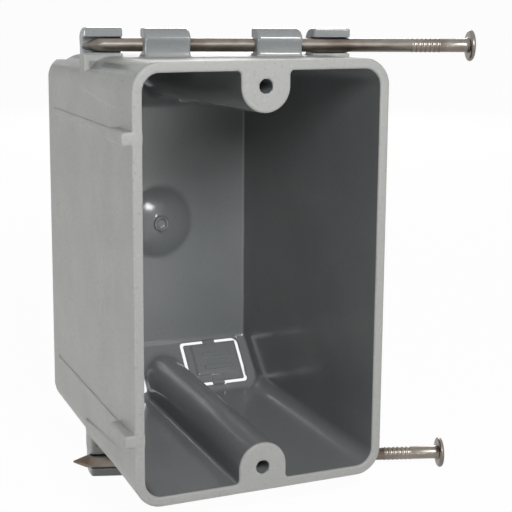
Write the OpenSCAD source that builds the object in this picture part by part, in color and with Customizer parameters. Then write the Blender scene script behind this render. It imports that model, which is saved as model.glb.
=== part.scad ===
// Single-gang nail-on switch box: one moulded PVC body, two captive angled nails and four
// push-in cable flaps. Millimetres, +Z up, front opening towards -Y, stud side towards -X.
// The origin is midway between the two device screws, in the plane of the front rim.

/* [Box] */
// Width of the box across the front rim
box_w = 58.6; // [57:0.1:68]
// Height of the box across the front rim
box_h = 94.2; // [92:0.1:110]
// Depth of the box from the front rim to the outside of the back
box_d = 71.4; // [66:0.1:85]
// Thickness of the walls
wall = 2.2; // [1.6:0.1:3]
// Mould draft of the outside, the floor and the ceiling, in degrees
draft = 1.13; // [0.5:0.01:1.5]
// Mould draft of the side walls' inner faces, in degrees
inner_draft = 1.9; // [1.2:0.1:2]
// Outer radius of the four long corners
corner_r = 6; // [4:0.1:9]
// Radius of the rear corners of the two side walls
rear_r = 5.5; // [2:0.1:8]

/* [Rear slopes] */
// Depth at which each slope leaves the floor or ceiling
slope_y = 59; // [56:0.1:59.2]
// Height above the middle at which each slope meets the back wall
slope_z = 32; // [29:0.1:32.2]

/* [Device screws] */
// Distance between the two device screws
screw_spacing = 83.34; // [80:0.01:85]
// Diameter of the screw holes
screw_hole_d = 3.1; // [2.6:0.1:3.6]
// Depth of the screw holes
screw_hole_l = 32; // [15:0.5:45]
// Radius of the screw bosses at the rim
boss_r = 5.6; // [4:0.1:5.7]
// Radius of the screw bosses at the back wall
boss_end_r = 5.9; // [4.2:0.1:6]

/* [Nails] */
// Overall length of a nail
nail_l = 88.9; // [80:0.1:100]
// Diameter of the shank
nail_d = 3.05; // [2.5:0.05:3.5]
// Diameter of the head
head_d = 7.2; // [6:0.1:9]
// Thickness of the head
head_t = 1.1; // [0.8:0.1:2]
// Length of the flare under the head
neck_l = 0.8; // [0.3:0.1:1.5]
// How far the flare stands out from the shank
neck_out = 0.45; // [0.1:0.05:0.8]
// Length of the diamond point
point_l = 4.6; // [3:0.1:7]
// Blunt width left at the very tip
tip_w = 0.3; // [0.2:0.05:0.6]
// Number of grip rings below the head
grip_count = 7; // [3:1:10]
// Distance from one grip ring to the next
grip_pitch = 1.05; // [0.8:0.05:1.5]
// Width of a grip ring
grip_w = 0.5; // [0.2:0.05:0.7]
// Height of a grip ring above the shank
grip_h = 0.08; // [0.04:0.01:0.12]
// Distance from the head to the first grip ring
grip_start = 6.5; // [3:0.1:12]
// Angle of the nails to the front rim, in degrees
nail_angle = 18.2; // [10:0.1:24]
// Depth of the nails at the middle of the box
nail_y = 26.8; // [24:0.1:32]
// Height of the nail axes above the top and bottom rim edges
nail_gap = 2; // [1.9:0.1:3]
// How far the upper nail's tip stands out past the stud side of the rim
upper_tip_out = -0.5; // [-3:0.1:5]
// How far the lower nail's tip stands out past the stud side of the rim
lower_tip_out = 3.2; // [-3:0.1:5]

/* [Nail clips] */
// Radial clearance between a nail and its clips
nail_play = 0.25; // [0.15:0.05:0.35]
// Height of the clips above the nail axis
clip_roof = 3.8; // [3:0.1:5]
// Reach of the clips away from the nail axis
clip_reach = 4; // [3.4:0.1:5]
// Overlap of the clips past the nail axis
clip_lip = 0.3; // [0.1:0.1:0.6]
// Radius on the outer top edge of the clips
clip_round = 2.8; // [1:0.1:3]
// Width of the two outer clips, which hold the nail from behind
outer_clip_w = 8.2; // [6:0.1:9]
// Distance of the outer clips from the sides of the rim
outer_clip_inset = 0.7; // [0.7:0.1:2]
// Width of the two inner clips, which hold the nail from the front
inner_clip_w = 9.6; // [6:0.1:11]
// Distance of the inner clips' centres from the middle
inner_clip_x = 11.9; // [8:0.1:14]

/* [Stud side] */
// Distance of the ribs from the middle of the box
rib_z = 31.8; // [24:0.1:34]
// Width of the ribs
rib_w = 1.5; // [1:0.1:3]
// How far the ribs stand out from the stud side's wall
rib_out = 0.4; // [0.2:0.1:1]
// Length of the locating lugs, from the rim back to the stud's front edge
lug_l = 10.6; // [6:0.1:13]
// Width of the locating lugs
lug_w = 2.9; // [2:0.1:5]
// How far the locating lugs stand out past the stud side of the rim
lug_out = 2.3; // [1:0.1:4]
// Radius on the outer edges of the locating lugs
lug_round = 0.8; // [0.2:0.1:1]
// Height of the bracket pads' inner edge at the front
pad_front_z = 36.8; // [35:0.1:38]
// Height of the bracket pads' inner edge at the rear, beside the outer clips
pad_rear_z = 39.2; // [38:0.1:40]
// Height of the bracket pads' outer edge
pad_outer_z = 43.4; // [41:0.1:44]
// Depth at which the bracket pads start
pad_y = 9; // [4:0.1:12]
// How far the bracket pads stand out past the ends of the outer clips
pad_proud = 0.6; // [0.4:0.1:1.2]

/* [Cable flaps] */
// Width of a flap
flap_w = 14.8; // [11:0.1:14.8]
// Length of a flap along the slope
flap_l = 11.2; // [9:0.1:11.4]
// Distance from the flaps' windows to the side walls, at the back of the box
flap_side = 2.2; // [1.9:0.1:2.2]
// Distance of the flaps' centres from the foot of the slope, along the slope
flap_s = 8.5; // [8.4:0.1:8.7]
// Radius on the corners of a flap
flap_round = 0.3; // [0.1:0.1:1]
// Width of the slot round a flap
slot = 0.95; // [0.6:0.05:1]
// Thickness of a flap and of the wall beside its slot
edge_t = 0.8; // [0.6:0.1:1.2]
// Width of the thinned wall round a window, on the outside
relief = 0.6; // [0.3:0.1:0.8]
// Width of the two webs that carry a flap
web_w = 3.3; // [2:0.1:5]
// Gap left between a web and the wall that it meets
web_gap = 0.05; // [0.02:0.01:0.1]
// Distance from a flap's edges on the boss side and the front to its raised field
margin_w = 2.2; // [1.5:0.1:3]
// Distance from a flap's other two edges to its raised field
far_margin_w = 0.6; // [0.3:0.1:1.5]
// Height of the raised field
field_h = 0.6; // [0.3:0.1:0.8]
// Length of the two grip bars on a flap
bar_l = 7.8; // [5:0.1:9]
// Width of the grip bars
bar_w = 1.1; // [0.6:0.1:1.5]
// Height of the grip bars above the raised field
bar_h = 0.4; // [0.2:0.1:0.8]
// Distance between the grip bars' centres
bar_pitch = 3.7; // [2:0.1:4]
// Distance of the grip bars' middle to the front of the field's middle
bar_shift = 0.8; // [0:0.1:0.9]
// Length of the thinned pocket in the wall at each hinge web
pocket_l = 1.7; // [1:0.1:2.5]
// Depth of the thinned pocket
pocket_t = 0.3; // [0.2:0.1:0.5]
// Sideways run of the pocket over its length
pocket_run = 0.6; // [0:0.1:2]

/* [Gate dome] */
// Radius of the dome at the middle of the back wall
dome_r = 9.4; // [7:0.1:11]
// Height of the dome inside the box
dome_h = 3.2; // [2:0.1:4.5]
// Height of the dome's centre above the middle
dome_z = 1.2; // [-2:0.1:2]
// Outer radius of the ring at the top of the dome
ring_r = 2; // [1.5:0.1:3]
// Width of the ring
ring_w = 0.7; // [0.4:0.1:1]
// Height of the ring
ring_h = 0.5; // [0.2:0.1:0.8]

/* [Hidden] */

$fn = 48;
// Facets on the long corners, which are hulls
corner_fn = 32;
// A length well past the whole object, for cutting shapes
far = 300;
// A sliver's thickness, for the end plates of a tapered block
skin = 0.2;
// How far a cut runs past the face that it opens
overcut = 1;
// Rise of the rear corners' round above the drafted walls, so that they cross cleanly
rear_blend = 0.15;
// How far the bosses' flat flanks stand in from their round fronts, so that they cross cleanly
flank_in = 0.05;

pvc_grey = [0.60, 0.61, 0.60];
steel = [0.55, 0.53, 0.50];

// Narrowing of each wall per millimetre of depth
taper = tan(draft);
// Narrowing of the cavity's side faces per millimetre of depth
inner_taper = tan(inner_draft);
// Inside face of the back wall
back_y = box_d - wall;
// Inside face of the floor and ceiling where the slopes start
slope_floor = half_h(slope_y) - wall;
// Tilt of the slopes from the floor
slope_angle = atan2(slope_floor - slope_z, back_y - slope_y);
// Height of the nail axes
nail_z = box_h / 2 + nail_gap;
// Radius of the groove that each clip holds the nail in
groove_r = nail_d / 2 + nail_play;
// Depth of a clip's foot below the nail axis, down to where the long corners end
clip_foot = nail_gap + corner_r + taper * back_y;
// Depth at which the ribs end
rib_end = box_d - rear_r;
// Centre of the outer clips
outer_clip_x = box_w / 2 - outer_clip_inset - outer_clip_w / 2;
// Outer face of the bracket pads, which lies against the stud
pad_x = box_w / 2 - outer_clip_inset + pad_proud;
// Depth at which the bracket pads end, where the nail leaves the clip
pad_end = nail_y + outer_clip_x * tan(nail_angle) + clip_reach;
// Hinge line of the flaps, along the slope
hinge_s = flap_s - flap_l / 2 - slot;
// Size of a flap's window, and the radius on its corners
window_w = flap_w + 2 * slot;
window_l = flap_l + 2 * slot;
window_round = flap_round + slot;
// Distance of the flaps' centres from the middle of the box
flap_x = box_w / 2 - wall - inner_taper * back_y - flap_side - window_w / 2;
// Radius of the sphere that the gate dome is part of
dome_ball = (dome_r * dome_r + dome_h * dome_h) / (2 * dome_h);
// Centre of that sphere
dome_y = back_y - dome_h + dome_ball;

// Half the outer width at a depth
function half_w(y) = box_w / 2 - taper * y;
// Half the outer height at a depth
function half_h(y) = box_h / 2 - taper * y;

// Block with rounded long corners that narrows with depth, with its own rate across its width
module tapered_block(w, h, r, y0, y1, side_taper) {
    hull()
        for (y = [y0, y1 - skin], sx = [-1, 1], sz = [-1, 1])
            translate([sx * (w / 2 - side_taper * y - r), y, sz * (h / 2 - taper * y - r)])
                rotate([-90, 0, 0])
                    cylinder(r = r, h = skin, $fn = corner_fn);
}

// Places children on a slope: X across, Y up the slope, Z into the box; side is 1 above, -1 below
module on_slope(side) {
    mirror([0, 0, side > 0 ? 1 : 0])
        translate([0, slope_y, -slope_floor])
            rotate([slope_angle, 0, 0])
                children();
}

// Everything further out than a level below the slope's inner face
module below_slope(side, level) {
    on_slope(side)
        translate([-far / 2, -far / 2, -level - far])
            cube([far, far, far]);
}

// Places children on a nail's axis: X towards the head, Y to the rear, Z away from the box
module on_nail(side) {
    mirror([0, 0, side > 0 ? 0 : 1])
        translate([0, nail_y, nail_z])
            rotate([0, 0, -nail_angle])
                children();
}

// Cuts a slot the full size of the object between two planes across X
module between_x(x0, x1) {
    translate([x0, -far / 2, -far / 2])
        cube([x1 - x0, far, far]);
}

// Outline of the box seen from the side: X along the depth, Y up, with rounded rear corners
module side_outline() {
    yc = box_d - rear_r;
    zc = half_h(yc) - rear_r + rear_blend;
    translate([-overcut, -box_h])
        square([yc + overcut, 2 * box_h]);
    translate([-overcut, -zc])
        square([box_d + overcut, 2 * zc]);
    for (side = [-1, 1])
        translate([yc, side * zc])
            circle(r = rear_r);
}

// Outside of the box, with the space behind each slope open between the side walls
module outer_shell() {
    recess_x = half_w(box_d) - wall;
    difference() {
        intersection() {
            tapered_block(box_w, box_h, corner_r, 0, box_d + rear_r, taper);
            translate([-box_w, 0, 0])
                rotate([90, 0, 90])
                    linear_extrude(2 * box_w)
                        side_outline();
        }
        for (side = [-1, 1])
            intersection() {
                below_slope(side, wall);
                between_x(-recess_x, recess_x);
            }
    }
}

// Inside of the box, up to the slopes
module cavity() {
    difference() {
        tapered_block(box_w - 2 * wall, box_h - 2 * wall, corner_r - wall, -overcut, back_y, inner_taper);
        for (side = [-1, 1])
            below_slope(side, 0);
    }
}

// Drafted ridge along the floor or ceiling that carries a device screw and runs into the slope
module screw_boss(side) {
    front_w = boss_r - flank_in;
    rear_w = sqrt(boss_end_r * boss_end_r - pow(taper * back_y, 2)) - flank_in;
    intersection() {
        translate([-far / 2, 0, -far / 2])
            cube([far, far, far]);
        mirror([0, 0, side > 0 ? 0 : 1])
            translate([0, 0, screw_spacing / 2]) {
                rotate([-90 - draft, 0, 0])
                    translate([0, 0, -overcut])
                        cylinder(r1 = boss_r, r2 = boss_end_r, h = back_y + overcut);
                linear_extrude(box_h / 2)
                    polygon([
                        [-front_w, -overcut],
                        [front_w, -overcut],
                        [rear_w, back_y],
                        [-rear_w, back_y]
                    ]);
            }
    }
}

// Hole for a device screw
module screw_hole(side) {
    translate([0, -overcut, side * screw_spacing / 2])
        rotate([-90, 0, 0])
            cylinder(d = screw_hole_d, h = screw_hole_l + overcut);
}

// Dome on the inside of the back wall, where the moulding's gate was, with its small ring
module gate_dome() {
    translate([0, dome_y, dome_z])
        sphere(r = dome_ball);
    translate([0, back_y - dome_h - ring_h, dome_z])
        rotate([-90, 0, 0])
            difference() {
                cylinder(r = ring_r, h = dome_h);
                cylinder(r = ring_r - ring_w, h = dome_h);
            }
}

// Hollow on the outside of the back wall, which follows the dome
module gate_hollow() {
    translate([0, dome_y, dome_z])
        sphere(r = dome_ball - wall);
}

// Section of a clip that holds the nail from behind: X to the rear, Y away from the box
module clip_section() {
    round_x = clip_reach - clip_round;
    round_y = clip_roof - clip_round;
    translate([-clip_lip, -clip_foot])
        square([clip_lip + round_x, clip_foot + clip_roof]);
    translate([-clip_lip, -clip_foot])
        square([clip_lip + clip_reach, clip_foot + round_y]);
    translate([round_x, round_y])
        circle(r = clip_round);
}

// One clip; facing is 1 where it holds the nail from behind, -1 where it holds it from the front
module nail_clip(side, facing, x, w) {
    intersection() {
        on_nail(side)
            mirror([0, facing > 0 ? 0 : 1, 0])
                rotate([90, 0, 90])
                    translate([0, 0, -far / 2])
                        linear_extrude(far)
                            clip_section();
        between_x(x - w / 2, x + w / 2);
    }
}

// The four clips of one nail
module nail_clips(side) {
    for (hand = [-1, 1]) {
        nail_clip(side, 1, hand * outer_clip_x, outer_clip_w);
        nail_clip(side, -1, hand * inner_clip_x, inner_clip_w);
    }
}

// Groove for a nail through its clips
module nail_groove(side) {
    on_nail(side)
        rotate([0, 90, 0])
            cylinder(r = groove_r, h = far, center = true);
}

// Locating lug beside the rim, with rounded outer edges
module locating_lug() {
    reach = lug_out + wall;
    mirror([1, 0, 0])
        translate([box_w / 2 - wall, 0, -lug_w / 2]) {
            cube([reach - lug_round, lug_l, lug_w]);
            translate([0, 0, lug_round])
                cube([reach, lug_l, lug_w - 2 * lug_round]);
            for (z = [lug_round, lug_w - lug_round])
                translate([reach - lug_round, 0, z])
                    rotate([-90, 0, 0])
                        cylinder(r = lug_round, h = lug_l);
        }
}

// Rib, lug and bracket pad on the stud side, above or below the middle
module stud_side(side) {
    inner_x = half_w(box_d) - wall;
    mirror([0, 0, side > 0 ? 0 : 1]) {
        translate([0, 0, rib_z - rib_w / 2])
            linear_extrude(rib_w)
                polygon([
                    [-half_w(0) - rib_out, 0],
                    [-inner_x, 0],
                    [-inner_x, rib_end],
                    [-half_w(rib_end) - rib_out, rib_end]
                ]);
        translate([0, 0, rib_z])
            locating_lug();
        translate([-pad_x, 0, 0])
            rotate([90, 0, 90])
                linear_extrude(pad_x - inner_x)
                    polygon([
                        [pad_y, pad_front_z],
                        [pad_end, pad_rear_z],
                        [pad_end, pad_outer_z],
                        [pad_y, pad_outer_z]
                    ]);
    }
}

// Plate centred on the origin with rounded corners, from one height to another
module rounded_plate(w, l, r, z0, z1) {
    translate([0, 0, z0])
        linear_extrude(z1 - z0) {
            square([w - 2 * r, l], center = true);
            square([w, l - 2 * r], center = true);
            for (sx = [-1, 1], sy = [-1, 1])
                translate([sx * (w / 2 - r), sy * (l / 2 - r)])
                    circle(r = r);
        }
}

// Places children at a flap's centre: X away from the boss, Y up the slope, Z into the box
module at_flap(side, hand) {
    mirror([hand > 0 ? 0 : 1, 0, 0])
        on_slope(side)
            translate([flap_x, flap_s, 0])
                children();
}

// Window in a slope for one flap, thinned round its edge outside and at its hinge web inside
module flap_window(side, hand) {
    at_flap(side, hand) {
        rounded_plate(window_w, window_l, window_round, -2 * wall, overcut);
        rounded_plate(
            window_w + 2 * relief, window_l + 2 * relief, window_round + relief, -2 * wall, -edge_t);
        translate([0, -window_l / 2, -pocket_t])
            linear_extrude(pocket_t + overcut)
                polygon([
                    [-web_w / 2, overcut],
                    [-web_w / 2, 0],
                    [pocket_run - web_w / 2, -pocket_l],
                    [pocket_run + web_w / 2, -pocket_l],
                    [web_w / 2, 0],
                    [web_w / 2, overcut]
                ]);
    }
}

// The moulding: box, screw bosses, nail clips and stud-side ribs in one piece
module box_body() {
    color(pvc_grey)
        difference() {
            union() {
                outer_shell();
                for (side = [-1, 1]) {
                    nail_clips(side);
                    stud_side(side);
                }
            }
            difference() {
                cavity();
                gate_dome();
                for (side = [-1, 1])
                    screw_boss(side);
            }
            gate_hollow();
            for (side = [-1, 1]) {
                screw_hole(side);
                nail_groove(side);
                for (hand = [-1, 1])
                    flap_window(side, hand);
            }
        }
}

// Nail along +Z with its tip at the origin
module nail() {
    shank_l = nail_l - head_t;
    color(steel) {
        intersection() {
            cylinder(d = nail_d, h = point_l);
            cylinder(d1 = tip_w, d2 = nail_d * sqrt(2), h = point_l, $fn = 4);
        }
        translate([0, 0, point_l])
            cylinder(d = nail_d, h = shank_l - point_l);
        for (i = [0:grip_count - 1])
            translate([0, 0, shank_l - grip_start - i * grip_pitch - grip_w])
                cylinder(d = nail_d + 2 * grip_h, h = grip_w);
        translate([0, 0, shank_l - neck_l])
            cylinder(d1 = nail_d, d2 = nail_d + 2 * neck_out, h = neck_l);
        translate([0, 0, shank_l])
            rotate_extrude() {
                square([(head_d - head_t) / 2, head_t]);
                intersection() {
                    translate([(head_d - head_t) / 2, head_t / 2])
                        circle(d = head_t);
                    square([head_d, head_t]);
                }
            }
    }
}

// Nail in its clips, with its tip a given distance past the stud side of the rim
module seated_nail(side, tip_out) {
    on_nail(side)
        translate([-(box_w / 2 + tip_out) / cos(nail_angle), 0, 0])
            rotate([0, 90, 0])
                nail();
}

module upper_nail() {
    seated_nail(1, upper_tip_out);
}

module lower_nail() {
    seated_nail(-1, lower_tip_out);
}

// Flap in its window: thin plate, raised field, two grip bars, hinge web and break-off web
module cable_flap(side, hand) {
    field_w = flap_w - margin_w - far_margin_w;
    field_l = flap_l - margin_w - far_margin_w;
    field_c = (margin_w - far_margin_w) / 2;
    web_l = slot - web_gap;
    color(pvc_grey)
        at_flap(side, hand) {
            rounded_plate(flap_w, flap_l, flap_round, -edge_t, 0);
            translate([field_c, field_c, 0]) {
                rounded_plate(field_w, field_l, flap_round, -edge_t, field_h);
                for (i = [-1, 1])
                    translate([-bar_l / 2, (i * bar_pitch - bar_w) / 2 - bar_shift, -edge_t])
                        cube([bar_l, bar_w, edge_t + field_h + bar_h]);
            }
            translate([-web_w / 2, -flap_l / 2 - web_l, -edge_t])
                cube([web_w, web_l + flap_l + web_l, edge_t]);
            translate([-web_w / 2, -flap_l / 2, -edge_t])
                cube([web_w, margin_w + overcut, edge_t + field_h / 2]);
        }
}

module lower_left_flap() {
    cable_flap(-1, -1);
}

module lower_right_flap() {
    cable_flap(-1, 1);
}

module upper_left_flap() {
    cable_flap(1, -1);
}

module upper_right_flap() {
    cable_flap(1, 1);
}

box_body();
upper_nail();
lower_nail();
lower_left_flap();
lower_right_flap();
upper_left_flap();
upper_right_flap();
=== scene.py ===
import math

import bmesh
import bpy
import numpy as np
from mathutils import Matrix, Vector


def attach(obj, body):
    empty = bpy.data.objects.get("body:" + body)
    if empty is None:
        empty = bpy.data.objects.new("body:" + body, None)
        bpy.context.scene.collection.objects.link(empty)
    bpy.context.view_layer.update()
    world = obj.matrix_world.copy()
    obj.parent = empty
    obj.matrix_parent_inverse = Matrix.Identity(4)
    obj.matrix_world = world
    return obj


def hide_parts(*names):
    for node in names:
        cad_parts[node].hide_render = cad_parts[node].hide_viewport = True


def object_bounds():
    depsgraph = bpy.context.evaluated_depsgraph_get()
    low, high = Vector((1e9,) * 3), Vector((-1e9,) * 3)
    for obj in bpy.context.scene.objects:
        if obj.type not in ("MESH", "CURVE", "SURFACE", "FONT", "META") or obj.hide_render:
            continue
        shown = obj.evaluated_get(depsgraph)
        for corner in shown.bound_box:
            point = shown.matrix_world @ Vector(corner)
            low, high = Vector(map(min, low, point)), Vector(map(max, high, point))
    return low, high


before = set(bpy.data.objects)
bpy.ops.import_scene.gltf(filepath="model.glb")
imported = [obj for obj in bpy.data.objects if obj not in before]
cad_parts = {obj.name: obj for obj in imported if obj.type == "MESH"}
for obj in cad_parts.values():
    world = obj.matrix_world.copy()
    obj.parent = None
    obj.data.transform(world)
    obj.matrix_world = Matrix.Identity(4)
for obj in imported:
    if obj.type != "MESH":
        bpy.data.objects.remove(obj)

CAD_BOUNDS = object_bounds()
MM = 0.001

# Box
BOX_W = 58.6
BOX_H = 94.2
BOX_D = 71.4
WALL = 2.2
CORNER_R = 6.0
REAR_R = 5.5
REAR_Y = BOX_D - REAR_R
REAR_BLEND = 0.15
TAPER = math.tan(math.radians(1.13))
INNER_TAPER = math.tan(math.radians(1.9))
BACK_Y = BOX_D - WALL

# Rear slopes
SLOPE_Y = 59.0
SLOPE_Z = 32.0
SLOPE_FLOOR = BOX_H / 2 - TAPER * SLOPE_Y - WALL
SLOPE_ANGLE = math.atan2(SLOPE_FLOOR - SLOPE_Z, BACK_Y - SLOPE_Y)
SLOPE_COS = math.cos(SLOPE_ANGLE)
SLOPE_SIN = math.sin(SLOPE_ANGLE)

# Device screws and their bosses
SCREW_SPACING = 83.34
SCREW_Z = SCREW_SPACING / 2
SCREW_R = 1.55
SCREW_L = 32.0
BOSS_R = 5.6
BOSS_END_R = 5.9
BOSS_FILLET = 0.9

# Nails
NAIL_L = 88.9
NAIL_D = 3.05
NAIL_R = NAIL_D / 2
HEAD_D = 7.2
HEAD_R = HEAD_D / 2
HEAD_T = 1.1
NECK_L = 0.8
NECK_OUT = 0.45
POINT_L = 4.6
TIP_R = 0.15
GRIP_COUNT = 7
GRIP_PITCH = 1.05
GRIP_W = 0.5
GRIP_H = 0.08
GRIP_START = 6.5
NAIL_ANGLE = math.radians(18.2)
NAIL_COS = math.cos(NAIL_ANGLE)
NAIL_SIN = math.sin(NAIL_ANGLE)
NAIL_Y = 26.8
NAIL_GAP = 2.0
NAIL_Z = BOX_H / 2 + NAIL_GAP
UPPER_TIP_OUT = -0.5
LOWER_TIP_OUT = 3.2
# One grip ring in shares of its width and height, from the tip's side to the head's
GRIP_PROFILE = ((0.0, 0.0), (0.2, 0.8), (0.4, 1.0), (0.7, 0.9), (1.0, 0.0))
# Points round a nail, rings of them on its point and its head, and shares of the neck that have one
NAIL_SIDES = 64
POINT_RINGS = 13
HEAD_RINGS = 9
NECK_RINGS = (0.0, 0.35, 0.7, 1.0)

# Nail clips
NAIL_PLAY = 0.25
GROOVE_R = NAIL_R + NAIL_PLAY
CLIP_ROOF = 3.8
CLIP_REACH = 4.0
CLIP_LIP = 0.3
CLIP_ROUND = 2.8
CLIP_FOOT = NAIL_GAP + CORNER_R + TAPER * BACK_Y
OUTER_CLIP_W = 8.2
OUTER_CLIP_INSET = 0.7
OUTER_CLIP_X = BOX_W / 2 - OUTER_CLIP_INSET - OUTER_CLIP_W / 2
INNER_CLIP_W = 9.6
INNER_CLIP_X = 11.9
WAIST_R = 2.4
WAIST_EDGE_R = WAIST_R / 2
WAIST_DEPTH = 0.25
WAIST_DROP = 1.0
# Fillet where a clip grows out of the wall, and how its hidden root sits in the wall
ROOT_FILLET = 0.7
ROOT_SINK = 0.03
ROOT_DEPTH = 0.8
# Which way a clip holds its nail: from behind it or from before it
BEHIND = 1
BEFORE = -1

# Stud side
RIB_Z = 31.8
RIB_W = 1.5
RIB_OUT = 0.4
LUG_L = 10.6
LUG_W = 2.9
LUG_OUT = 2.3
LUG_X = BOX_W / 2 + LUG_OUT
PAD_PROUD = 0.6
PAD_X = BOX_W / 2 - OUTER_CLIP_INSET + PAD_PROUD
PAD_Y = 9.0
PAD_END = NAIL_Y + OUTER_CLIP_X * math.tan(NAIL_ANGLE) + CLIP_REACH
PAD_FRONT_Z = 36.8
PAD_REAR_Z = 39.2
PAD_OUTER_Z = 43.4
# The pad's outer end slants in to the rounded corner of the box
PAD_SLANT = 2.2
PAD_RISE = 3.0

# Cable flaps and their windows
FLAP_W = 14.8
FLAP_L = 11.2
FLAP_S = 8.5
FLAP_SIDE = 2.2
FLAP_ROUND = 0.3
SLOT = 0.95
EDGE_T = 0.8
RELIEF = 0.6
WEB_W = 3.3
WEB_GAP = 0.05
MARGIN_W = 2.2
FAR_MARGIN_W = 0.6
FIELD_H = 0.6
TONGUE_H = FIELD_H / 2
BAR_L = 7.8
BAR_W = 1.1
BAR_ROUND = BAR_W / 3
BAR_H = 0.4
BAR_PITCH = 3.7
BAR_SHIFT = 0.8
POCKET_L = 1.7
POCKET_T = 0.3
POCKET_RUN = 0.6
WINDOW_W = FLAP_W + 2 * SLOT
WINDOW_L = FLAP_L + 2 * SLOT
WINDOW_ROUND = FLAP_ROUND + SLOT
FLAP_X = BOX_W / 2 - WALL - INNER_TAPER * BACK_Y - FLAP_SIDE - WINDOW_W / 2

# Gate dome
DOME_R = 9.4
DOME_H = 3.2
DOME_Z = 1.2
DOME_BALL = (DOME_R ** 2 + DOME_H ** 2) / (2 * DOME_H)
DOME_Y = BACK_Y - DOME_H + DOME_BALL
RING_R = 2.0
RING_W = 0.7
RING_H = 0.5

# Radii of the moulding's edges and inner corners
EDGE_R = 0.4
FINE_R = 0.18
FILLET_R = 0.6
CLIP_EDGE_R = 0.6
LUG_EDGE_R = 2 * EDGE_R

# Spacing of the meshing grid: plain walls, walls with detail, the flaps and the clips
COARSE = 0.7
FINE = 0.36
FLAP_GRID = 0.16
CLIP_GRID = 0.22
# Plain walls: from this far behind the rim to this far before the slopes, and this far up and down
DETAIL_BAND = 1.0
PLAIN_Z = 28.0
# Room that the grid has round the body, a clip and a flap
BODY_MARGIN = 1.5
CLIP_MARGIN = 1.2
FLAP_MARGIN = 1.0
# Settling of points on a surface: rounds, and the length over which the gradient is measured
SETTLE_ROUNDS = 4
PROBE = 0.01
# Least square of a gradient, and least shift of a point, that anything is divided by
LEAST_SQUARE = 0.05
LEAST_SHIFT = 1e-9
# Flat stretches are merged within blocks of this size, which keeps the merging quick
MERGE_BLOCK = 12.0
FLAT_ANGLE = math.radians(0.6)
LEAST_EDGE = 0.0001 * MM
# Normals: edges that stay sharp, and the weight of flat faces beside narrow rounds
SHARP_ANGLE = math.radians(50)
NAIL_SHARP_ANGLE = math.radians(40)
FLAT_WEIGHT = 100


# Rounded solids: each is a function that is negative inside and gives a distance in millimetres.
# ax and az are distances from the middle of the box, s is a place up a rear slope and n above it.


def meet(a, b, r):
    """Common part of two solids, with the edge between them rounded."""
    corner = np.hypot(np.maximum(a + r, 0), np.maximum(b + r, 0))
    return np.minimum(np.maximum(a, b), -r) + corner


def join(a, b, r):
    """Two solids in one, with the corner between them filled to a radius."""
    return -meet(-a, -b, r)


def cut(a, b, r):
    """A solid less another, with the edge of the cut rounded."""
    return meet(a, -b, r)


def slab(v, low, high):
    """What lies between two parallel planes."""
    return np.maximum(low - v, v - high)


def rounded_rect(u, v, half_u, half_v, r):
    """Bar of rectangular section about its own middle, with rounded corners."""
    return meet(np.abs(u) - half_u, np.abs(v) - half_v, r)


def slope_place(y, az):
    """Distance up the slope and height above it, for the slope on this side of the middle."""
    dy = y - SLOPE_Y
    dz = SLOPE_FLOOR - az
    return dy * SLOPE_COS + dz * SLOPE_SIN, dz * SLOPE_COS - dy * SLOPE_SIN


def nail_place(u, v):
    """X and Y of a place that is u along a nail and v across it."""
    return u * NAIL_COS + v * NAIL_SIN, NAIL_Y - u * NAIL_SIN + v * NAIL_COS


def outer_shell(x, y, az, n):
    """The tapered box as a full block, with round rear edges and the recesses behind its slopes."""
    tube = rounded_rect(x, az, BOX_W / 2 - TAPER * y, BOX_H / 2 - TAPER * y, CORNER_R)
    corner_z = BOX_H / 2 - TAPER * REAR_Y + REAR_BLEND - REAR_R
    rear = np.hypot(np.maximum(y - REAR_Y, 0), np.maximum(az - corner_z, 0)) - REAR_R
    rear = np.where(y > REAR_Y, rear, -REAR_R)
    shell = meet(meet(tube, -y, EDGE_R), rear, REAR_BLEND)
    recess_x = BOX_W / 2 - TAPER * BOX_D - WALL
    recess = meet(n + WALL, np.abs(x) - recess_x, EDGE_R)
    return cut(shell, recess, EDGE_R)


def screw_boss(x, y, az):
    """Half-round boss along the end wall, round a device screw."""
    drop = az - SCREW_Z + TAPER * y
    radius = BOSS_R + (BOSS_END_R - BOSS_R) * y / BACK_Y
    return np.where(drop > 0, np.abs(x), np.hypot(x, drop)) - radius


def gate_dome(x, y, z):
    """Dome on the back wall, with a small ring on its top."""
    rho = np.hypot(x, z - DOME_Z)
    ball = np.hypot(rho, y - DOME_Y) - DOME_BALL
    ring = meet(slab(rho, RING_R - RING_W, RING_R), BACK_Y - DOME_H - RING_H - y, FINE_R)
    return join(ball, ring, FINE_R)


def cavity(x, y, z, az, n):
    """Room inside the box, less the bosses and the dome."""
    half_x = BOX_W / 2 - WALL - INNER_TAPER * y
    half_z = BOX_H / 2 - WALL - TAPER * y
    room = rounded_rect(x, az, half_x, half_z, CORNER_R - WALL)
    room = meet(room, y - BACK_Y, FILLET_R)
    room = meet(room, -n, FILLET_R)
    room = cut(room, screw_boss(x, y, az), BOSS_FILLET)
    return cut(room, gate_dome(x, y, z), EDGE_R)


def nail_clip(x, v, up, centre, width):
    """One clip that holds the nail from the side of +v."""
    nose = meet(v - CLIP_REACH, up - CLIP_ROOF, CLIP_ROUND)
    section = meet(nose, -CLIP_LIP - v, EDGE_R)
    waist_v = CLIP_REACH + WAIST_R - WAIST_DEPTH
    waist = np.hypot(v - waist_v, up + WAIST_DROP) - WAIST_R
    section = cut(section, waist, WAIST_EDGE_R)
    section = np.maximum(section, -CLIP_FOOT - up)
    return meet(section, np.abs(x - centre) - width / 2, CLIP_EDGE_R)


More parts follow.
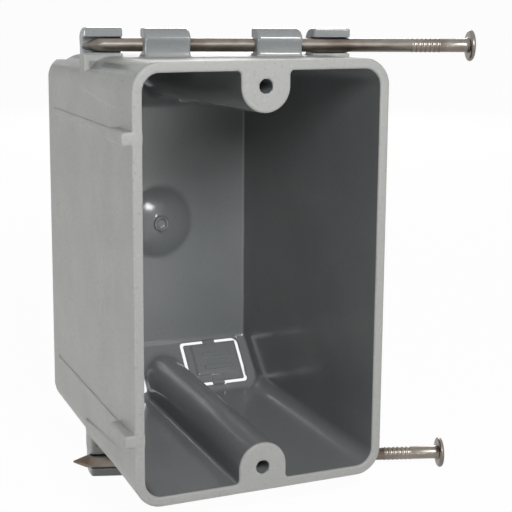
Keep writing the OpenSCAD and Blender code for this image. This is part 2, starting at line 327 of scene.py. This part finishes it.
def rooted_clip(u, v, up, facing, centre, width):
    """One clip with its nail's groove and its root in the wall, placed from the nail's axis."""
    x, y = nail_place(u, v)
    az = NAIL_Z + up
    clip = nail_clip(x, facing * v, up, centre, width)
    clip = cut(clip, np.hypot(v, up) - GROOVE_R, FINE_R)
    wall = outer_shell(x, y, az, slope_place(y, az)[1])
    rooted = join(clip, wall + ROOT_SINK, ROOT_FILLET)
    rooted = np.maximum(rooted, clip - ROOT_FILLET)
    return np.maximum(rooted, -wall - ROOT_DEPTH)


def stud_side(x, y, az):
    """Rib, lug and bracket pad on the stud side."""
    root = x + BOX_W / 2 - WALL - TAPER * BOX_D
    rib_face = TAPER * y - BOX_W / 2 - RIB_OUT - x
    rib = meet(slab(az, RIB_Z - RIB_W / 2, RIB_Z + RIB_W / 2), rib_face, FINE_R)
    rib = meet(rib, slab(y, 0, REAR_Y), FINE_R)
    lug = meet(slab(az, RIB_Z - LUG_W / 2, RIB_Z + LUG_W / 2), -LUG_X - x, LUG_EDGE_R)
    lug = meet(lug, slab(y, 0, LUG_L), EDGE_R)
    rise = (PAD_REAR_Z - PAD_FRONT_Z) / (PAD_END - PAD_Y)
    inner_edge = PAD_FRONT_Z + rise * (y - PAD_Y) - az
    slant = (az - PAD_OUTER_Z + PAD_SLANT - PAD_RISE * (x + PAD_X)) / math.hypot(1, PAD_RISE)
    pad = meet(np.maximum(inner_edge, az - PAD_OUTER_Z), -PAD_X - x, EDGE_R)
    pad = meet(pad, slant, EDGE_R)
    pad = meet(pad, slab(y, PAD_Y, PAD_END), EDGE_R)
    return np.maximum(join(join(rib, lug, FINE_R), pad, FINE_R), root)


def flap_window(ax, s, n):
    """The opening round a flap, with the thinner wall outside it and the pocket at its hinge web."""
    u = ax - FLAP_X
    v = s - FLAP_S
    hole = np.maximum(rounded_rect(u, v, WINDOW_W / 2, WINDOW_L / 2, WINDOW_ROUND), n - WALL)
    thin = rounded_rect(u, v, WINDOW_W / 2 + RELIEF, WINDOW_L / 2 + RELIEF, WINDOW_ROUND + RELIEF)
    thin = np.maximum(thin, n + EDGE_T)
    front = -WINDOW_L / 2 - v
    lean = u - POCKET_RUN * front / POCKET_L
    pocket = np.maximum(slab(front, -WALL, POCKET_L), np.abs(lean) - WEB_W / 2)
    pocket = np.maximum(pocket, slab(n, -POCKET_T, WALL))
    return np.minimum(np.minimum(hole, thin), pocket)


def box_body(x, y, z):
    """The whole moulding, apart from its clips and flaps."""
    az = np.abs(z)
    ax = np.abs(x)
    s, n = slope_place(y, az)
    solid = join(outer_shell(x, y, az, n), stud_side(x, y, az), FINE_R)
    solid = cut(solid, cavity(x, y, z, az, n), EDGE_R)
    hollow = np.sqrt(x * x + (y - DOME_Y) ** 2 + (z - DOME_Z) ** 2) - (DOME_BALL - WALL)
    solid = cut(solid, hollow, EDGE_R)
    screw = np.maximum(np.hypot(x, az - SCREW_Z) - SCREW_R, y - SCREW_L)
    solid = cut(solid, screw, FINE_R)
    return cut(solid, flap_window(ax, s, n), FINE_R)


def cable_flap(u, v, n):
    """Flap about its own centre: u away from the boss, v up the slope, n into the box."""
    plate = np.maximum(rounded_rect(u, v, FLAP_W / 2, FLAP_L / 2, FLAP_ROUND), slab(n, -EDGE_T, 0))
    web_end = FLAP_L / 2 + SLOT - WEB_GAP
    web = np.maximum(np.maximum(np.abs(u) - WEB_W / 2, np.abs(v) - web_end), slab(n, -EDGE_T, 0))
    flap = np.minimum(plate, web)
    left = -FLAP_W / 2 + MARGIN_W
    front = -FLAP_L / 2 + MARGIN_W
    right = FLAP_W / 2 - FAR_MARGIN_W
    rear = FLAP_L / 2 - FAR_MARGIN_W
    bevel = math.cos(math.pi / 4)
    field = meet(slab(u, left - FIELD_H, right), slab(v, front - FIELD_H, rear), FLAP_ROUND)
    field = meet(field, (left - FIELD_H + n - u) * bevel, FINE_R)
    field = meet(field, (front - FIELD_H + n - v) * bevel, FINE_R)
    field = meet(field, slab(n, -EDGE_T, FIELD_H), FINE_R)
    flap = join(flap, field, FINE_R)
    tongue = meet(np.abs(u) - WEB_W / 2, slab(n, -EDGE_T, TONGUE_H), FINE_R)
    tongue = np.maximum(tongue, slab(v, -FLAP_L / 2, front))
    flap = join(flap, tongue, FINE_R)
    bar_u = (left + right) / 2
    middle_v = (front + rear) / 2 - BAR_SHIFT
    for bar_v in (middle_v - BAR_PITCH / 2, middle_v + BAR_PITCH / 2):
        bar = rounded_rect(u - bar_u, v - bar_v, BAR_L / 2, BAR_W / 2, BAR_ROUND)
        bar = meet(bar, slab(n, -EDGE_T, FIELD_H + BAR_H), FINE_R)
        flap = join(flap, bar, FINE_R)
    return flap


# Meshing of a rounded solid on a grid

CELL_CORNERS = [(i, j, k) for i in (0, 1) for j in (0, 1) for k in (0, 1)]


def spaced(stops, steps):
    """Grid lines from the first stop to the last, with a step for each stretch between two stops."""
    lines = []
    for low, high, step in zip(stops[:-1], stops[1:], steps):
        count = max(1, round((high - low) / step))
        lines.append(np.linspace(low, high, count, endpoint=False))
    return np.concatenate(lines + [[stops[-1]]])


def gradient(solid, points):
    """How fast a solid's distance grows along each axis, at each point."""
    growth = np.empty_like(points)
    for k in range(3):
        step = np.zeros(3)
        step[k] = PROBE
        ahead = points + step
        behind = points - step
        growth[:, k] = (solid(*ahead.T) - solid(*behind.T)) / (2 * PROBE)
    return growth


def settle(solid, points, reach):
    """Points moved onto the surface of a solid, none of them further than the reach."""
    moved = points
    for _ in range(SETTLE_ROUNDS):
        growth = gradient(solid, moved)
        square = np.maximum((growth * growth).sum(axis=1), LEAST_SQUARE)
        shift = moved - growth * (solid(*moved.T) / square)[:, None] - points
        length = np.maximum(np.linalg.norm(shift, axis=1), LEAST_SHIFT)
        moved = points + shift * np.minimum(1, reach / length)[:, None]
    return moved


def crossed_cells(inside):
    """Grid cells with corners on both sides of a surface."""
    shape = [count - 1 for count in inside.shape]
    some = np.zeros(shape, bool)
    every = np.ones(shape, bool)
    for i, j, k in CELL_CORNERS:
        part = inside[i:i + shape[0], j:j + shape[1], k:k + shape[2]]
        some |= part
        every &= part
    return np.argwhere(some & ~every)


def cell_points(value, cells, lines):
    """For each cell, the middle of the places where the surface crosses its edges."""
    total = np.zeros((len(cells), 3))
    hits = np.zeros(len(cells))
    for a in CELL_CORNERS:
        for axis in range(3):
            if a[axis]:
                continue
            b = tuple(1 if k == axis else a[k] for k in range(3))
            va = value[tuple((cells + a).T)]
            vb = value[tuple((cells + b).T)]
            crossed = (va < 0) != (vb < 0)
            t = np.where(crossed, va / np.where(crossed, va - vb, 1), 0)
            for k in range(3):
                low = lines[k][cells[:, k] + a[k]]
                high = lines[k][cells[:, k] + b[k]]
                total[:, k] += np.where(crossed, low + t * (high - low), 0)
            hits += crossed
    return total / hits[:, None]


def cell_faces(inside, number):
    """Four-sided faces between the numbered cells, one round each grid edge that crosses the surface."""
    faces = []
    for axis in range(3):
        u = (axis + 1) % 3
        v = (axis + 2) % 3
        low = inside.take(range(0, inside.shape[axis] - 1), axis)
        high = inside.take(range(1, inside.shape[axis]), axis)
        for leaving, edges in ((True, low & ~high), (False, ~low & high)):
            place = np.argwhere(edges)
            place = place[(place[:, u] > 0) & (place[:, v] > 0)]
            place = place[(place[:, u] < number.shape[u]) & (place[:, v] < number.shape[v])]
            ring = []
            for du, dv in ((-1, -1), (0, -1), (0, 0), (-1, 0)):
                cell = place.copy()
                cell[:, u] += du
                cell[:, v] += dv
                ring.append(number[tuple(cell.T)])
            quad = np.stack(ring, axis=1)
            faces.append(quad if leaving else quad[:, ::-1])
    return np.concatenate(faces)


def surface(solid, lines, reach):
    """Points and four-sided faces of a solid's surface: one point in each grid cell that it crosses."""
    value = solid(*np.meshgrid(*lines, indexing="ij", sparse=True))
    inside = value < 0
    cells = crossed_cells(inside)
    number = np.full([count - 1 for count in inside.shape], -1)
    number[tuple(cells.T)] = np.arange(len(cells))
    points = settle(solid, cell_points(value, cells, lines), reach)
    return points, cell_faces(inside, number)


def merge_blocks(points, faces):
    """Number of the block that each face lies in."""
    centres = points[faces].mean(axis=1)
    blocks = ((centres - centres.min(axis=0)) // MERGE_BLOCK).astype(np.int32)
    counts = blocks.max(axis=0) + 1
    return (blocks[:, 0] * counts[1] + blocks[:, 1]) * counts[2] + blocks[:, 2]


def new_object(name, data):
    obj = bpy.data.objects.new(name, data)
    bpy.context.scene.collection.objects.link(obj)
    return obj


def mesh_from(name, points, faces):
    """Mesh object in metres, with the flat stretches merged and the normals kept to the flats."""
    mesh = bpy.data.meshes.new(name)
    mesh.vertices.add(len(points))
    mesh.vertices.foreach_set("co", (points * MM).ravel())
    mesh.loops.add(faces.size)
    mesh.loops.foreach_set("vertex_index", faces.ravel().astype(np.int32))
    mesh.polygons.add(len(faces))
    mesh.polygons.foreach_set("loop_start", np.arange(0, faces.size, faces.shape[1], dtype=np.int32))
    mesh.update(calc_edges=True)
    mesh.polygons.foreach_set("material_index", merge_blocks(points, faces))
    bm = bmesh.new()
    bm.from_mesh(mesh)
    bmesh.ops.dissolve_degenerate(bm, dist=LEAST_EDGE, edges=bm.edges)
    bmesh.ops.dissolve_limit(
        bm, angle_limit=FLAT_ANGLE, verts=bm.verts, edges=bm.edges, delimit={"MATERIAL"})
    bmesh.ops.triangulate(bm, faces=bm.faces)
    for face in bm.faces:
        face.material_index = 0
    bm.to_mesh(mesh)
    bm.free()
    for polygon in mesh.polygons:
        polygon.use_smooth = True
    mesh.set_sharp_from_angle(angle=SHARP_ANGLE)
    obj = new_object(name, mesh)
    normals = obj.modifiers.new("normals", "WEIGHTED_NORMAL")
    normals.mode = "FACE_AREA"
    normals.weight = FLAT_WEIGHT
    normals.keep_sharp = True
    return obj


def make_body():
    top = BOX_H / 2 + BODY_MARGIN
    stops_y = (-BODY_MARGIN, DETAIL_BAND, SLOPE_Y - DETAIL_BAND, BOX_D + BODY_MARGIN)
    xs = spaced((-LUG_X - BODY_MARGIN, BOX_W / 2 + BODY_MARGIN), (FINE,))
    ys = spaced(stops_y, (FINE, COARSE, FINE))
    zs = spaced((-top, -PLAIN_Z, PLAIN_Z, top), (FINE, COARSE, FINE))
    points, faces = surface(box_body, (xs, ys, zs), FINE)
    return mesh_from("body", points, faces)


def make_clip(name, side, facing, centre, width):
    """One nail clip; side is 1 above the box and -1 below it."""
    middle_u = centre / NAIL_COS
    half_u = (width / 2 + CLIP_REACH * NAIL_SIN + CLIP_MARGIN) / NAIL_COS
    stops_v = sorted((-facing * (CLIP_LIP + CLIP_MARGIN), facing * (CLIP_REACH + CLIP_MARGIN)))
    us = spaced((middle_u - half_u, middle_u + half_u), (CLIP_GRID,))
    vs = spaced(stops_v, (CLIP_GRID,))
    ups = spaced((-CLIP_FOOT - CLIP_MARGIN, CLIP_ROOF + CLIP_MARGIN), (CLIP_GRID,))

    def solid(u, v, up):
        return rooted_clip(u, v, up, facing, centre, width)

    points, faces = surface(solid, (us, vs, ups), CLIP_GRID)
    u, v, up = points.T
    x, y = nail_place(u, v)
    z = side * (NAIL_Z + up)
    if side < 0:
        faces = faces[:, ::-1]
    return mesh_from(name, np.stack((x, y, z), axis=1), faces)


def make_flap(name, side, hand):
    """One cable flap; side is 1 above the box's middle, and hand is 1 to the right of it."""
    half_u = FLAP_W / 2 + FLAP_MARGIN
    half_v = FLAP_L / 2 + SLOT + FLAP_MARGIN
    us = spaced((-half_u, half_u), (FLAP_GRID,))
    vs = spaced((-half_v, half_v), (FLAP_GRID,))
    ns = spaced((-EDGE_T - FLAP_MARGIN, FIELD_H + BAR_H + FLAP_MARGIN), (FLAP_GRID,))
    points, faces = surface(cable_flap, (us, vs, ns), FLAP_GRID)
    u, v, n = points.T
    x = hand * (FLAP_X + u)
    y = SLOPE_Y + (FLAP_S + v) * SLOPE_COS - n * SLOPE_SIN
    z = side * (SLOPE_FLOOR - (FLAP_S + v) * SLOPE_SIN - n * SLOPE_COS)
    if side * hand > 0:
        faces = faces[:, ::-1]
    return mesh_from(name, np.stack((x, y, z), axis=1), faces)


# Nails


def point_radius(along, angle):
    """Radius of the four-sided point, at a distance from its tip and an angle round it."""
    flat = TIP_R + (NAIL_R - TIP_R) * along / POINT_L
    across = (abs(math.cos(angle)) + abs(math.sin(angle))) * math.sqrt(0.5)
    return min(NAIL_R, flat / across)


def nail_profile():
    """Distance from the tip and radius, along a nail behind its point."""
    shank_l = NAIL_L - HEAD_T
    stations = []
    for i in reversed(range(GRIP_COUNT)):
        start = shank_l - GRIP_START - i * GRIP_PITCH - GRIP_W
        for share, height in GRIP_PROFILE:
            stations.append((start + share * GRIP_W, NAIL_R + height * GRIP_H))
    for t in NECK_RINGS:
        stations.append((shank_l - NECK_L * (1 - t), NAIL_R + NECK_OUT * t * t))
    rim = HEAD_T / 2
    for angle in np.linspace(-math.pi / 2, math.pi / 2, HEAD_RINGS):
        stations.append((shank_l + rim + rim * math.sin(angle), HEAD_R - rim + rim * math.cos(angle)))
    return stations


def nail_rings():
    """Rings of places round a nail, from its tip: distance along it, radius and angle."""
    angles = [2 * math.pi * i / NAIL_SIDES for i in range(NAIL_SIDES)]
    rings = []
    for along in np.linspace(0, POINT_L, POINT_RINGS):
        rings.append([(along, point_radius(along, angle), angle) for angle in angles])
    for along, radius in nail_profile():
        rings.append([(along, radius, angle) for angle in angles])
    return np.array(rings)


def make_nail(name, side, tip_out):
    """One nail, with its tip this far outside the stud side of the box."""
    along, radius, angle = nail_rings().reshape(-1, 3).T
    start = -(BOX_W / 2 + tip_out) / NAIL_COS
    x, y = nail_place(start + along, radius * np.cos(angle))
    z = side * NAIL_Z + radius * np.sin(angle)
    last = len(along) - NAIL_SIDES
    faces = []
    for near in range(0, last, NAIL_SIDES):
        far = near + NAIL_SIDES
        for i in range(NAIL_SIDES):
            k = (i + 1) % NAIL_SIDES
            faces.append((near + i, near + k, far + k, far + i))
    faces.append(list(range(NAIL_SIDES)))
    faces.append([last + i for i in reversed(range(NAIL_SIDES))])
    mesh = bpy.data.meshes.new(name)
    mesh.from_pydata((np.stack((x, y, z), axis=1) * MM).tolist(), [], faces)
    bm = bmesh.new()
    bm.from_mesh(mesh)
    bmesh.ops.recalc_face_normals(bm, faces=bm.faces)
    bm.to_mesh(mesh)
    bm.free()
    for polygon in mesh.polygons:
        polygon.use_smooth = len(polygon.vertices) < NAIL_SIDES
    mesh.set_sharp_from_angle(angle=NAIL_SHARP_ANGLE)
    return new_object(name, mesh)


# Materials


def rgba(colour):
    """Value of a colour socket, for a colour or a level of grey."""
    return (*colour, 1) if isinstance(colour, tuple) else (colour, colour, colour, 1)


class Nodes:
    """Short calls for the nodes of a material or of the world."""

    def __init__(self, owner, shader):
        owner.use_nodes = True
        self.tree = owner.node_tree
        self.shader = self.tree.nodes[shader]

    def add(self, kind, **settings):
        node = self.tree.nodes.new(kind)
        for key, value in settings.items():
            setattr(node, key, value)
        return node

    def feed(self, value, socket):
        """Gives a socket what another socket puts out, or a plain value."""
        if isinstance(value, bpy.types.NodeSocket):
            self.tree.links.new(value, socket)
        else:
            socket.default_value = value

    def place(self):
        return self.add("ShaderNodeTexCoord").outputs["Object"]

    def noise(self, place, scale, detail=3.0, roughness=0.5):
        node = self.add("ShaderNodeTexNoise")
        self.feed(place, node.inputs["Vector"])
        self.feed(scale, node.inputs["Scale"])
        self.feed(detail, node.inputs["Detail"])
        self.feed(roughness, node.inputs["Roughness"])
        return node.outputs["Fac"]

    def ramp(self, value, *stops):
        node = self.add("ShaderNodeValToRGB")
        while len(node.color_ramp.elements) < len(stops):
            node.color_ramp.elements.new(0.5)
        for element, (position, colour) in zip(node.color_ramp.elements, stops):
            element.position = position
            element.color = rgba(colour)
        self.feed(value, node.inputs["Fac"])
        return node.outputs["Color"]

    def mix(self, a, b, share, mode="MIX"):
        node = self.add("ShaderNodeMix", data_type="RGBA", blend_type=mode)
        self.feed(share, node.inputs["Factor"])
        self.feed(a, node.inputs["A"])
        self.feed(b, node.inputs["B"])
        return node.outputs["Result"]

    def math(self, operation, *values):
        node = self.add("ShaderNodeMath", operation=operation)
        for value, socket in zip(values, node.inputs):
            self.feed(value, socket)
        return node.outputs[0]

    def bump(self, height, strength, distance, under=None):
        node = self.add("ShaderNodeBump")
        self.feed(height, node.inputs["Height"])
        self.feed(strength, node.inputs["Strength"])
        self.feed(distance, node.inputs["Distance"])
        if under is not None:
            self.feed(under, node.inputs["Normal"])
        return node.outputs["Normal"]


# PVC_INSIDE_WITH_SHADE colours: two tones each for the smooth inside, darker partly for its smooth
# finish and partly as painted shade, and for the outer skin, then the rim and the clips
PVC_INSIDE_WITH_SHADE = (0.195, 0.206, 0.208)
PVC_INSIDE_PALE_WITH_SHADE = (0.214, 0.224, 0.226)
PVC_SKIN = (0.335, 0.340, 0.325)
PVC_SKIN_LIGHT = (0.375, 0.375, 0.358)
PVC_RIM = (0.355, 0.357, 0.345)
PVC_CLIP = (0.258, 0.275, 0.278)
# How deep the skin's and the rim's tones reach, and how far off the wall the clips' tone starts
SKIN_DEPTH = 1.2
RIM_DEPTH = 0.5
CLIP_START = 0.3
# Noise per metre of the tones, the specks, the gloss, the grain and the waves
PVC_TONE_SCALE = 45
SKIN_TONE_SCALE = 70
SPECK_SCALE = 1300
GLOSS_SCALE = 160
GRAIN_SCALE = 2600
WAVE_SCALE = 120
# Levels of the noise at which one tone starts to change and has become the other
TONE_LOW = 0.35
TONE_HIGH = 0.65
# Levels of the noise and brightness of the specks, and the share of them that the inside keeps
SPECKS = ((0.28, 0.80), (0.40, 1.0), (0.62, 1.0), (0.74, 1.14))
SMOOTH_GRAIN = 0.5
# Levels of the noise and roughness of the inside, and the roughness of the outer skin and the rim
SMOOTH_ROUGHNESS = ((0.3, 0.16), (0.7, 0.23))
DULL_ROUGHNESS = 0.55
PVC_IOR = 1.53
# Strength and depth in metres of the grain and the waves
GRAIN_BUMP = (0.08, 0.0001)
WAVE_BUMP = (0.03, 0.0004)


def ramp_between(m, value, low, high):
    """0 below a value in millimetres and 1 above another, for a length in metres."""
    node = m.add("ShaderNodeMapRange", interpolation_type="SMOOTHSTEP")
    m.feed(value, node.inputs["Value"])
    m.feed(low * MM, node.inputs["From Min"])
    m.feed(high * MM, node.inputs["From Max"])
    return node.outputs["Result"]


def outside_masks(m, place):
    """Where the material is the box's outer skin, the front rim and the nail clips."""
    axes = m.add("ShaderNodeSeparateXYZ")
    m.feed(place, axes.inputs[0])
    x, y, z = axes.outputs
    shrink = m.math("MULTIPLY", y, TAPER)
    side = m.math("ADD", m.math("ABSOLUTE", x), shrink)
    height = m.math("ADD", m.math("ABSOLUTE", z), shrink)
    sides = ramp_between(m, side, BOX_W / 2 - SKIN_DEPTH, BOX_W / 2 - SKIN_DEPTH / 2)
    ends = ramp_between(m, height, BOX_H / 2 - SKIN_DEPTH, BOX_H / 2 - SKIN_DEPTH / 2)
    back = ramp_between(m, y, BOX_D - SKIN_DEPTH, BOX_D - SKIN_DEPTH / 2)
    clips = ramp_between(m, height, BOX_H / 2 + CLIP_START, BOX_H / 2 + 2 * CLIP_START)
    skin = m.math("MAXIMUM", m.math("MAXIMUM", sides, ends), back)
    skin = m.math("MULTIPLY", skin, m.math("SUBTRACT", 1.0, clips))
    rim = m.math("SUBTRACT", 1.0, ramp_between(m, y, RIM_DEPTH / 2, RIM_DEPTH))
    return skin, rim, clips


def pvc_material(name):
    """Moulded PVC_INSIDE_WITH_SHADE: smooth and darker inside and on the clips, dull and paler on the
    skin and rim; the inside tone holds painted shade as well as its own colour.
    """
    material = bpy.data.materials.new(name)
    m = Nodes(material, "Principled BSDF")
    place = m.place()
    skin, rim, clips = outside_masks(m, place)
    # The inside tone is darker partly for its smooth finish and partly as painted shade inside the box
    smooth_noise = m.noise(place, PVC_TONE_SCALE, detail=4)
    inside_tone_with_shade = m.ramp(smooth_noise, (TONE_LOW, PVC_INSIDE_WITH_SHADE), (TONE_HIGH, PVC_INSIDE_PALE_WITH_SHADE))
    skin_noise = m.noise(place, SKIN_TONE_SCALE, detail=5, roughness=0.6)
    skin_tone = m.ramp(skin_noise, (TONE_LOW, PVC_SKIN), (TONE_HIGH, PVC_SKIN_LIGHT))
    tone = m.mix(inside_tone_with_shade, skin_tone, skin)
    tone = m.mix(tone, rgba(PVC_CLIP), clips)
    tone = m.mix(tone, rgba(PVC_RIM), rim)
    specks = m.ramp(m.noise(place, SPECK_SCALE, detail=2), *SPECKS)
    dull = m.math("MAXIMUM", skin, rim)
    grain = m.math("MAXIMUM", dull, SMOOTH_GRAIN)
    m.feed(m.mix(tone, specks, grain, "MULTIPLY"), m.shader.inputs["Base Color"])
    smooth_rough = m.ramp(m.noise(place, GLOSS_SCALE), *SMOOTH_ROUGHNESS)
    m.feed(m.mix(smooth_rough, rgba(DULL_ROUGHNESS), dull), m.shader.inputs["Roughness"])
    m.feed(PVC_IOR, m.shader.inputs["IOR"])
    fine = m.bump(m.noise(place, GRAIN_SCALE, detail=2), *GRAIN_BUMP)
    wavy = m.bump(m.noise(place, WAVE_SCALE, detail=2), *WAVE_BUMP, under=fine)
    m.feed(wavy, m.shader.inputs["Normal"])
    return material


# Steel colours, and the noise of the brown patches
STEEL = (0.25, 0.225, 0.20)
STEEL_BROWN = (0.12, 0.09, 0.068)
PATCH_SCALE = 110
PATCH_LOW = 0.42
PATCH_HIGH = 0.72
# Draw marks: noise per metre along and across the wire, its levels with brightness and with roughness
DRAW_SCALE = (30, 900, 900)
DRAW_MARKS = ((0.3, 0.86), (0.7, 1.0))
DRAW_ROUGHNESS = ((0.25, 0.28), (0.75, 0.40))
DRAW_BUMP = (0.15, 0.0001)


def steel_material(name):
    """Drawn steel wire: long draw marks, and a brown tint in patches."""
    material = bpy.data.materials.new(name)
    m = Nodes(material, "Principled BSDF")
    place = m.place()
    turn = m.add("ShaderNodeMapping")
    m.feed(place, turn.inputs["Vector"])
    m.feed((0, 0, NAIL_ANGLE), turn.inputs["Rotation"])
    m.feed(DRAW_SCALE, turn.inputs["Scale"])
    draw = m.noise(turn.outputs["Vector"], 1.0)
    patch_noise = m.noise(place, PATCH_SCALE, detail=4)
    patch = m.ramp(patch_noise, (PATCH_LOW, STEEL), (PATCH_HIGH, STEEL_BROWN))
    marks = m.ramp(draw, *DRAW_MARKS)
    m.feed(m.mix(patch, marks, 1.0, "MULTIPLY"), m.shader.inputs["Base Color"])
    m.feed(1.0, m.shader.inputs["Metallic"])
    m.feed(m.ramp(draw, *DRAW_ROUGHNESS), m.shader.inputs["Roughness"])
    m.feed(m.bump(draw, *DRAW_BUMP), m.shader.inputs["Normal"])
    return material


# Stage, light and camera, in metres

FLOOR_GAP = 0.0002
FLOOR_START = -2.0
FLOOR_REACH = 1.2
SWEEP_R = 0.5
SWEEP_STEPS = 12
WALL_TOP = 1.6
STAGE_HALF_W = 2.5
BACKDROP_GREY = 0.9
BACKDROP_ROUGHNESS = 0.9
# Share of plain white in the backdrop that the camera, metal and glass see; the rest takes the shadow
BACKDROP_WHITE = 0.97
WORLD_LIGHT = 0.06
LIGHT_TARGET = Vector((0, 0.03, 0))


def seen_rays(m):
    """1 for rays from the camera and for those by way of gloss or glass, and 0 for the others."""
    path = m.add("ShaderNodeLightPath")
    seen = m.math("MAXIMUM", path.outputs["Is Camera Ray"], path.outputs["Is Glossy Ray"])
    return m.math("MAXIMUM", seen, path.outputs["Is Transmission Ray"])


def backdrop_material():
    """Pale backdrop that shows white to the camera and keeps a soft shadow."""
    material = bpy.data.materials.new("backdrop")
    m = Nodes(material, "Principled BSDF")
    m.feed(rgba(BACKDROP_GREY), m.shader.inputs["Base Color"])
    m.feed(BACKDROP_ROUGHNESS, m.shader.inputs["Roughness"])
    glow = m.add("ShaderNodeEmission")
    m.feed(1.0, glow.inputs["Strength"])
    mixed = m.add("ShaderNodeMixShader")
    m.feed(m.math("MULTIPLY", seen_rays(m), BACKDROP_WHITE), mixed.inputs["Fac"])
    m.feed(m.shader.outputs[0], mixed.inputs[1])
    m.feed(glow.outputs[0], mixed.inputs[2])
    m.feed(mixed.outputs[0], m.tree.nodes["Material Output"].inputs["Surface"])
    return material


def make_stage():
    """Floor that sweeps up into a wall behind the object."""
    low = CAD_BOUNDS[0][2] - FLOOR_GAP
    profile = [(FLOOR_START, low), (FLOOR_REACH, low)]
    for angle in np.linspace(0, math.pi / 2, SWEEP_STEPS + 1)[1:]:
        profile.append((FLOOR_REACH + SWEEP_R * math.sin(angle), low + SWEEP_R * (1 - math.cos(angle))))
    profile.append((FLOOR_REACH + SWEEP_R, WALL_TOP))
    points = [(side * STAGE_HALF_W, y, z) for y, z in profile for side in (-1, 1)]
    quads = [(2 * i, 2 * i + 1, 2 * i + 3, 2 * i + 2) for i in range(len(profile) - 1)]
    mesh = bpy.data.meshes.new("backdrop")
    mesh.from_pydata(points, [], quads)
    for polygon in mesh.polygons:
        polygon.use_smooth = True
    mesh.materials.append(backdrop_material())
    backdrop = new_object("backdrop", mesh)


def make_world():
    """Weak even light, which the camera and the metal see as a white background."""
    world = bpy.data.worlds.new("studio")
    bpy.context.scene.world = world
    m = Nodes(world, "Background")
    m.feed(rgba(1.0), m.shader.inputs["Color"])
    strength = m.math("MULTIPLY_ADD", seen_rays(m), 1 - WORLD_LIGHT, WORLD_LIGHT)
    m.feed(strength, m.shader.inputs["Strength"])


def make_light(name, azimuth, elevation, distance, width, height, power):
    """Soft box aimed at the object; azimuth is from the front, positive to the right."""
    turn = math.radians(azimuth)
    rise = math.radians(elevation)
    level = math.cos(rise)
    toward = Vector((math.sin(turn) * level, -math.cos(turn) * level, math.sin(rise)))
    light = bpy.data.lights.new(name, "AREA")
    light.shape = "RECTANGLE"
    light.size = width
    light.size_y = height
    light.energy = power
    obj = new_object(name, light)
    obj.visible_camera = False
    obj.location = LIGHT_TARGET + distance * toward
    obj.rotation_euler = (-toward).to_track_quat("-Z", "Y").to_euler()


# Camera: picture width, focal length and picture centre in pixels, angles in radians, sensor in mm
PIXELS = 512
FOCAL = 1250
CENTRE_X = 10.222
CENTRE_Y = -39.104
YAW = 0.407534
PITCH = 0.179047
ROLL = 0.006282
CAMERA_PLACE = (-0.10688862, -0.23715081, 0.06118516)
SENSOR_W = 36
NEAR_LIMIT = 0.01


def make_camera():
    data = bpy.data.cameras.new("camera")
    camera = new_object("camera", data)
    ahead = Vector((math.sin(YAW) * math.cos(PITCH), math.cos(YAW) * math.cos(PITCH), -math.sin(PITCH)))
    right = Vector((math.cos(YAW), -math.sin(YAW), 0))
    up = right.cross(ahead)
    rolled_right = math.cos(ROLL) * right + math.sin(ROLL) * up
    rolled_up = math.cos(ROLL) * up - math.sin(ROLL) * right
    turned = Matrix((rolled_right, rolled_up, -ahead)).transposed().to_4x4()
    turned.translation = Vector(CAMERA_PLACE)
    camera.matrix_world = turned
    data.sensor_width = SENSOR_W
    data.lens = FOCAL / PIXELS * SENSOR_W
    data.shift_x = CENTRE_X / PIXELS
    data.shift_y = CENTRE_Y / PIXELS
    data.clip_start = NEAR_LIMIT
    bpy.context.scene.camera = camera


def finish_piece(obj, node, body, material):
    """Gives a piece its material, hides the CAD node that it stands for, and attaches it to its body."""
    obj.data.materials.append(material)
    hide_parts(node)
    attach(obj, body)


def main():
    bpy.context.scene.view_settings.view_transform = "Standard"
    body_pvc = pvc_material("box_pvc")
    flap_pvc = pvc_material("flap_pvc")
    steel = steel_material("nail_steel")

    finish_piece(make_body(), "box_body", "box", body_pvc)
    for level, side in (("lower", -1), ("upper", 1)):
        for place, hand in (("left", -1), ("right", 1)):
            corner = f"{level}_{place}"
            outer = make_clip(f"{corner}_outer_clip", side, BEHIND, hand * OUTER_CLIP_X, OUTER_CLIP_W)
            inner = make_clip(f"{corner}_inner_clip", side, BEFORE, hand * INNER_CLIP_X, INNER_CLIP_W)
            finish_piece(outer, "box_body", "box", body_pvc)
            finish_piece(inner, "box_body", "box", body_pvc)
            node = f"{corner}_flap"
            flap = make_flap(f"{node}_moulding", side, hand)
            finish_piece(flap, node, node, flap_pvc)
    for level, side, tip_out in (("upper", 1, UPPER_TIP_OUT), ("lower", -1, LOWER_TIP_OUT)):
        node = f"{level}_nail"
        nail = make_nail(f"{node}_wire", side, tip_out)
        finish_piece(nail, node, node, steel)

    make_stage()
    make_world()
    make_light("front_box", azimuth=-4, elevation=30, distance=0.36, width=0.1, height=0.1, power=0.95)
    make_light("left_box", azimuth=-100, elevation=-1, distance=0.7, width=0.3, height=0.06, power=1.9)
    make_light("right_box", azimuth=12, elevation=-4, distance=0.6, width=0.1, height=0.06, power=0.26)
    make_light("rear_box", azimuth=155, elevation=18, distance=0.9, width=0.35, height=0.35, power=3.2)
    make_camera()


main()
